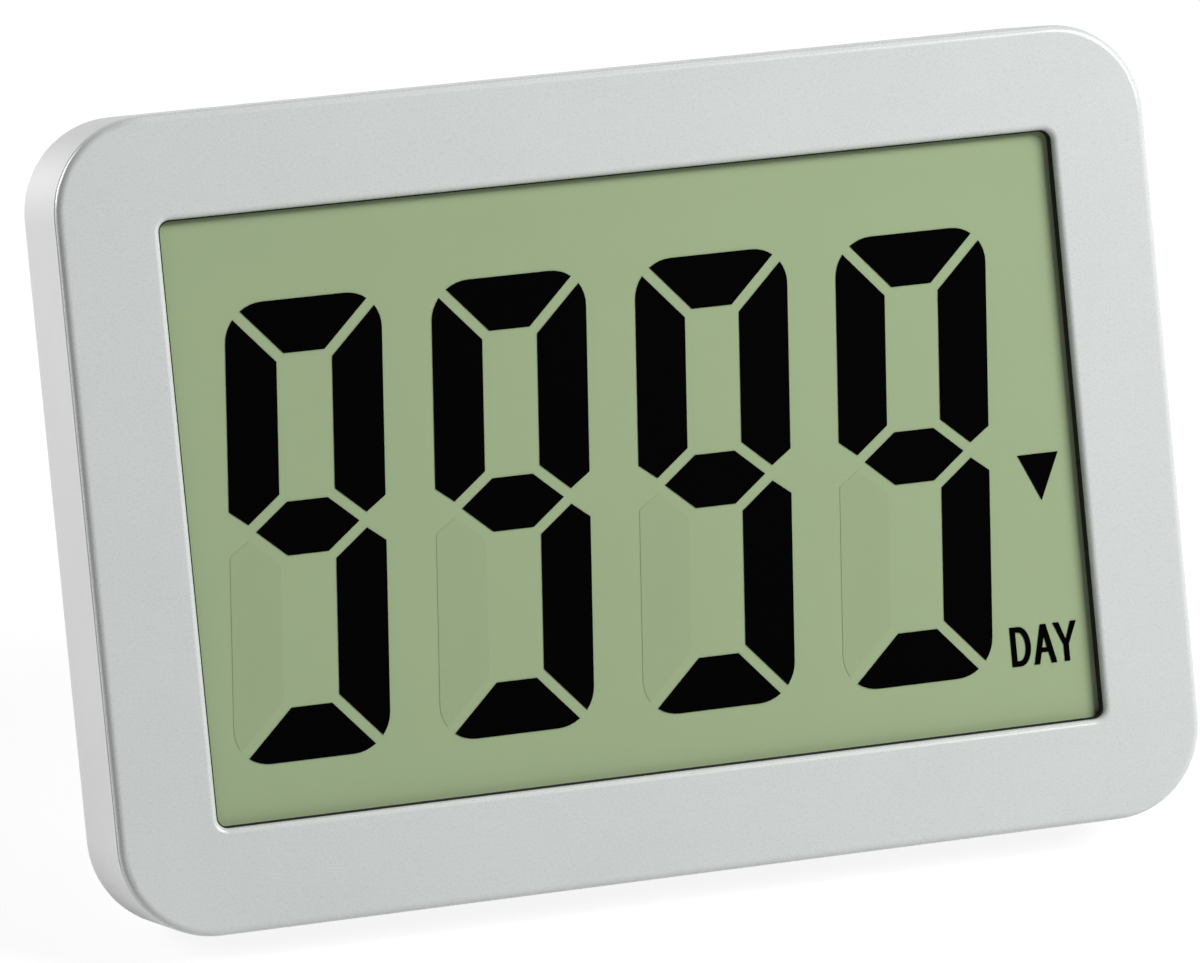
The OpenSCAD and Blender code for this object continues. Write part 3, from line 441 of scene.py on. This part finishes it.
def dress_case():
    dressed(moulded("bezel_plastic", BEZEL_GREY, depth=0.001 * MM, smooth=0.25, rough=0.32, sheen=0.8),
            "front_bezel")
    dressed(moulded("cover_plastic", COVER_GREY, smooth=0.5, rough=0.65),
            "rear_cover", "battery_door", "stand")
    dressed(moulded("button_plastic", rgb(176, 180, 181), smooth=0.45, rough=0.6),
            "button_set", "button_up", "button_down")
    dressed(rubber("foot_rubber", rgb(70, 71, 72)), "stand_foot")
    dressed(metal("magnet_nickel", rgb(190, 190, 188), smooth=0.16, rough=0.26, size=2.5 * MM), "magnets")
    dressed(metal("screw_steel", STEEL, size=0.25 * MM), "case_screws", "board_screws", "holder_screws")


def dress_display(figure_ink):
    dressed(film("lcd_film", LCD_GREEN), "lcd_polarizer")
    dressed(film("lcd_trace", rgb(158, 175, 137)), "lcd_unlit_segments")
    dressed(figure_ink, "lcd_segments")
    # The gasket is dark foam, and its near-black colour also paints the shade along the display window's
    # edges, darkest at the right inner wall.
    dressed(rubber("gasket_foam", rgb(22, 20, 16)), "display_gasket")
    dressed(glass("lcd_glass", rgb(236, 244, 242)), "lcd_front_glass", "lcd_rear_glass")
    dressed(ink("lcd_seal", rgb(148, 148, 143)), "lcd_seal")
    dressed(metal("reflector", rgb(225, 226, 225), smooth=0.35, rough=0.5), "lcd_reflector")


def dress_inside():
    dressed(moulded("holder_plastic", rgb(228, 228, 224), smooth=0.4, rough=0.55), "display_holder")
    dressed(layered("zebra_rubber", rgb(40, 40, 42), rgb(170, 170, 172), 0.3 * MM), "zebra_connector")
    dressed(laminate("board_laminate", rgb(34, 112, 66), rgb(92, 140, 70)), "circuit_board")
    dressed(moulded("epoxy_black", rgb(20, 20, 20), smooth=0.12, rough=0.25), "chip_blob")
    dressed(metal("crystal_can", rgb(205, 205, 206)), "crystal")
    dressed(moulded("capacitor_ceramic", rgb(172, 148, 116)), "capacitors")
    dressed(moulded("switch_plastic", rgb(38, 38, 38)), "key_switches")
    dressed(moulded("stem_plastic", rgb(222, 217, 200)),
            "switch_stem_set", "switch_stem_up", "switch_stem_down")


def dress_battery():
    dressed(sleeve("cell_sleeve", "battery_cell", rgb(40, 62, 50), rgb(196, 160, 96), STEEL), "battery_cell")
    dressed(metal("contact_steel", rgb(208, 206, 200), size=0.2 * MM),
            "battery_spring", "spring_plate", "positive_contact")
    dressed(rubber("lead_sleeve", rgb(170, 34, 28)), "battery_lead")


def print_unit_word(figure_ink):
    letters = [(letter_d, 2.26, 0.0), (letter_a, 2.6, 0.245), (letter_y, 2.7, -0.18)]
    polygons = word(letters, WORD_HEIGHT, WORD_STROKE, (WORD_LEFT, WORD_LOW))
    printed("unit_word", polygons, front_place(), WORD_THICKNESS, figure_ink, "case")


def print_button_signs():
    grey = ink("sign_ink", rgb(96, 98, 100))
    low = (along("button_set", UPWARDS)[1] - middle("button_set", UPWARDS)) / MM + SIGN_GAP
    high = low + SIGN_HEIGHT
    letters = [(letter_s, 1.3, 0.0), (letter_e, 1.15, 0.35), (letter_t, 1.3, 0.3)]
    width = sum(w + gap for _, w, gap in letters)
    half = ARROW_WIDTH / 2
    shapes = {
        "set": word(letters, SIGN_HEIGHT, SIGN_STROKE, (-width / 2, low)),
        "up": [[(-half, low), (half, low), (0, high)]],
        "down": [[(-half, high), (0, low), (half, high)]],
    }
    for name, polygons in shapes.items():
        place = back_place(f"button_{name}")
        printed(f"{name}_sign", polygons, place, SIGN_THICKNESS, grey, "case")


# Stage

def pale_floor():
    """White floor that throws light back up, and shows a soft shadow on its own white."""
    mesh = bpy.data.meshes.new("floor")
    sides = ((-1, -1), (1, -1), (1, 1), (-1, 1))
    corners = [(x * FLOOR_REACH, y * FLOOR_REACH, -FLOOR_DROP) for x, y in sides]
    mesh.from_pydata(corners, [], [(0, 1, 2, 3)])
    mesh.materials.append(floor_white())
    floor = bpy.data.objects.new("floor", mesh)
    bpy.context.scene.collection.objects.link(floor)


def floor_white():
    material = bpy.data.materials.new("floor_white")
    material.use_nodes = True
    tree = material.node_tree
    tree.nodes.remove(tree.nodes["Principled BSDF"])
    seen = seen_directly(tree)
    share = tree.nodes.new("ShaderNodeMapRange")
    share.inputs["To Min"].default_value = FLOOR_THROWN
    share.inputs["To Max"].default_value = FLOOR_SHOWN
    tree.links.new(seen, share.inputs["Value"])
    lit = tree.nodes.new("ShaderNodeBsdfDiffuse")
    tree.links.new(share.outputs[0], lit.inputs["Color"])
    glow = tree.nodes.new("ShaderNodeEmission")
    glow.inputs["Color"].default_value = (FLOOR_WHITE, FLOOR_WHITE, FLOOR_WHITE, 1)
    tree.links.new(seen, glow.inputs["Strength"])
    both = tree.nodes.new("ShaderNodeAddShader")
    tree.links.new(lit.outputs[0], both.inputs[0])
    tree.links.new(glow.outputs[0], both.inputs[1])
    tree.links.new(both.outputs[0], tree.nodes["Material Output"].inputs["Surface"])
    return material


def seen_directly(tree):
    """One for rays from the eye, in a reflection or through glass, and zero for light on things."""
    path = tree.nodes.new("ShaderNodeLightPath")
    total = path.outputs["Is Camera Ray"]
    for name in ("Is Glossy Ray", "Is Transmission Ray"):
        either = tree.nodes.new("ShaderNodeMath")
        either.operation = "MAXIMUM"
        tree.links.new(total, either.inputs[0])
        tree.links.new(path.outputs[name], either.inputs[1])
        total = either.outputs[0]
    return total


def white_surroundings():
    """World that is white to the eye and leaves the lighting to the lamps."""
    world = bpy.data.worlds.new("studio")
    bpy.context.scene.world = world
    world.use_nodes = True
    tree = world.node_tree
    background = tree.nodes["Background"]
    background.inputs["Color"].default_value = (1, 1, 1, 1)
    tree.links.new(seen_directly(tree), background.inputs["Strength"])


def softbox(name, toward, distance, size, watts):
    """Square area light in a direction from the middle of the object, facing it."""
    target = (cad_low + cad_high) / 2
    light = bpy.data.lights.new(name, "AREA")
    light.size = size
    light.energy = watts
    lamp = bpy.data.objects.new(name, light)
    direction = Vector(toward).normalized()
    lamp.location = target + direction * distance
    lamp.rotation_mode = "QUATERNION"
    lamp.rotation_quaternion = direction.to_track_quat("Z", "Y")
    bpy.context.scene.collection.objects.link(lamp)


def studio_light():
    white_surroundings()
    for name, (toward, distance, size, watts) in LIGHTS.items():
        softbox(name, toward, distance, size, watts)


def photo_camera():
    data = bpy.data.cameras.new("photo_camera")
    data.lens = CAMERA_LENS
    data.sensor_width = CAMERA_SENSOR
    camera = bpy.data.objects.new("photo_camera", data)
    camera.location = CAMERA_AT
    camera.rotation_euler = CAMERA_TURN
    bpy.context.scene.collection.objects.link(camera)
    bpy.context.scene.camera = camera


figure_ink = ink("figure", LCD_BLACK)
dress_case()
dress_display(figure_ink)
dress_inside()
dress_battery()
print_unit_word(figure_ink)
print_button_signs()
pale_floor()
studio_light()
photo_camera()
bpy.context.scene.view_settings.view_transform = "Standard"
